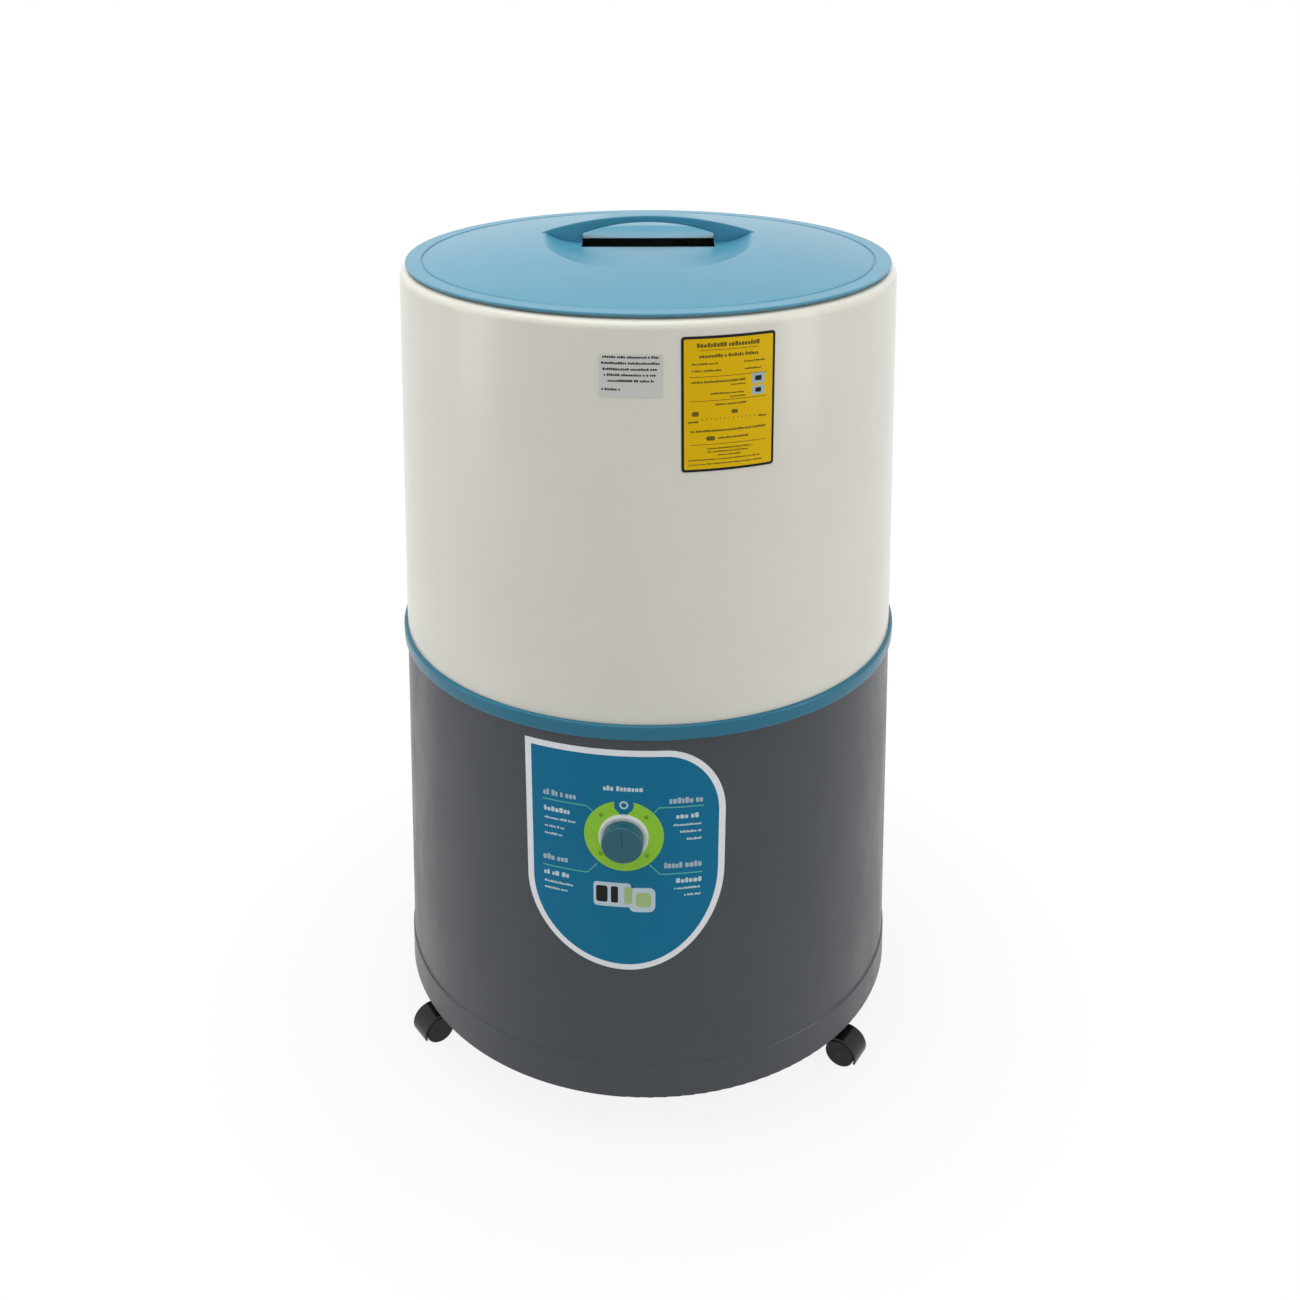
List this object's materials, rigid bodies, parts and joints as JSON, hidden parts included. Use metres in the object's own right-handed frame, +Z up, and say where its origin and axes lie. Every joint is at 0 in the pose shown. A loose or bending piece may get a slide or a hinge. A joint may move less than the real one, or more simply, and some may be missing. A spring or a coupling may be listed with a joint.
{
  "type": "washing machine",
  "caption": "Round top-loading manual washing machine: lift-off lid with an arched handle, white tub, grey skirt with a program knob, on swivel casters",
  "frame": {"origin": "on the floor, below the tub's vertical axis", "axes": "+Z up, -Y is the front with the control panel, +X to the right seen from the front"},
  "size_m": [0.637, 0.6538, 1.0375],
  "materials": {
    "white_plastic": "warm white glossy moulded plastic",
    "grey_plastic": "dark grey satin moulded plastic",
    "teal_plastic": "teal moulded plastic",
    "lid_plastic": "light blue moulded plastic",
    "knob_plastic": "dark teal moulded plastic",
    "label_film": "printed film, blue with a white edge",
    "yellow_film": "printed film, yellow",
    "clear_film": "pale printed film",
    "black_plastic": "black nylon",
    "rubber": "black rubber",
    "hose_rubber": "grey flexible hose",
    "steel": "plain steel",
    "zinc_steel": "zinc-plated steel",
    "painted_steel": "dark painted steel",
    "aluminium": "die-cast aluminium",
    "lead_sheath": "sheathed leads"
  },
  "bodies": {
    "cabinet": {"trim_band": "teal_plastic", "band_screws": "zinc_steel", "wash_tub": "white_plastic", "drain_fitting": "grey_plastic", "drain_nut": "grey_plastic", "drain_strainer": "zinc_steel", "shaft_seal": "rubber", "bearing_housing": "aluminium", "lower_bearing": "steel", "upper_bearing": "steel", "drive_frame": "painted_steel", "frame_bolts": "zinc_steel", "motor_body": "painted_steel", "motor_mounts": "rubber", "motor_bolts": "zinc_steel", "drive_belt": "rubber", "capacitor": "white_plastic", "capacitor_clip": "zinc_steel", "base_skirt": "grey_plastic", "base_pan": "grey_plastic", "pan_screws": "zinc_steel", "control_label": "label_film", "yellow_sticker": "yellow_film", "clear_sticker": "clear_film", "knob_bezel": "white_plastic", "timer_body": "white_plastic", "timer_bracket": "zinc_steel", "timer_screws": "zinc_steel", "bracket_screws": "zinc_steel", "drain_hose": "hose_rubber", "hose_clamps": "zinc_steel", "drain_outlet": "grey_plastic", "cord_gland": "black_plastic", "wiring_leads": "lead_sheath"},
    "front_left_caster": {"front_left_caster_hood": "black_plastic", "front_left_caster_stem": "zinc_steel"},
    "front_left_wheels": {"front_left_caster_wheels": "black_plastic", "front_left_caster_axle": "steel"},
    "front_right_caster": {"front_right_caster_hood": "black_plastic", "front_right_caster_stem": "zinc_steel"},
    "front_right_wheels": {"front_right_caster_wheels": "black_plastic", "front_right_caster_axle": "steel"},
    "rear_left_caster": {"rear_left_caster_hood": "black_plastic", "rear_left_caster_stem": "zinc_steel"},
    "rear_left_wheels": {"rear_left_caster_wheels": "black_plastic", "rear_left_caster_axle": "steel"},
    "rear_right_caster": {"rear_right_caster_hood": "black_plastic", "rear_right_caster_stem": "zinc_steel"},
    "rear_right_wheels": {"rear_right_caster_wheels": "black_plastic", "rear_right_caster_axle": "steel"},
    "lid": {"lid": "lid_plastic"},
    "knob": {"knob": "knob_plastic", "timer_shaft": "white_plastic"},
    "agitator": {"agitator": "lid_plastic", "agitator_cap": "teal_plastic", "drive_shaft": "steel", "driven_pulley": "aluminium", "pulley_nut": "zinc_steel"},
    "motor_rotor": {"motor_shaft": "steel", "motor_pulley": "aluminium"}
  },
  "joints": [
    {"name": "lid_lift", "type": "slide", "parent": "cabinet", "child": "lid", "axis": [0, 0, 1], "range_m": [0, 0.2]},
    {"name": "knob_turn", "type": "hinge", "parent": "cabinet", "child": "knob", "pos_m": [0, -0.3, 0.4105], "axis": [0, -1, 0], "range_deg": [-132, 132]},
    {"name": "agitator_spin", "type": "hinge", "parent": "cabinet", "child": "agitator", "pos_m": [0, 0, 0.45], "axis": [0, 0, 1], "continuous": true},
    {"name": "motor_spin", "type": "hinge", "parent": "cabinet", "child": "motor_rotor", "pos_m": [-0.14089, 0.09866, 0.35], "axis": [0, 0, 1], "continuous": true},
    {"name": "front_left_swivel", "type": "hinge", "parent": "cabinet", "child": "front_left_caster", "pos_m": [-0.24406, -0.15849, 0.06], "axis": [0, 0, 1], "continuous": true},
    {"name": "front_left_roll", "type": "hinge", "parent": "front_left_caster", "child": "front_left_wheels", "pos_m": [-0.26066, -0.17293, 0.019], "axis": [-0.6561, 0.7547, 0], "continuous": true},
    {"name": "front_right_swivel", "type": "hinge", "parent": "cabinet", "child": "front_right_caster", "pos_m": [0.24406, -0.15849, 0.06], "axis": [0, 0, 1], "continuous": true},
    {"name": "front_right_roll", "type": "hinge", "parent": "front_right_caster", "child": "front_right_wheels", "pos_m": [0.26366, -0.16848, 0.019], "axis": [-0.454, -0.891, 0], "continuous": true},
    {"name": "rear_left_swivel", "type": "hinge", "parent": "cabinet", "child": "rear_left_caster", "pos_m": [-0.24406, 0.15849, 0.06], "axis": [0, 0, 1], "continuous": true},
    {"name": "rear_left_roll", "type": "hinge", "parent": "rear_left_caster", "child": "rear_left_wheels", "pos_m": [-0.25572, 0.17715, 0.019], "axis": [0.848, 0.5299, 0], "continuous": true},
    {"name": "rear_right_swivel", "type": "hinge", "parent": "cabinet", "child": "rear_right_caster", "pos_m": [0.24406, 0.15849, 0.06], "axis": [0, 0, 1], "continuous": true},
    {"name": "rear_right_roll", "type": "hinge", "parent": "rear_right_caster", "child": "rear_right_wheels", "pos_m": [0.2573, 0.17606, 0.019], "axis": [0.7986, -0.6018, 0], "continuous": true}
  ],
  "couplings": [
    {"joint": "motor_spin", "follows": "agitator_spin", "ratio": 4.1783}
  ]
}
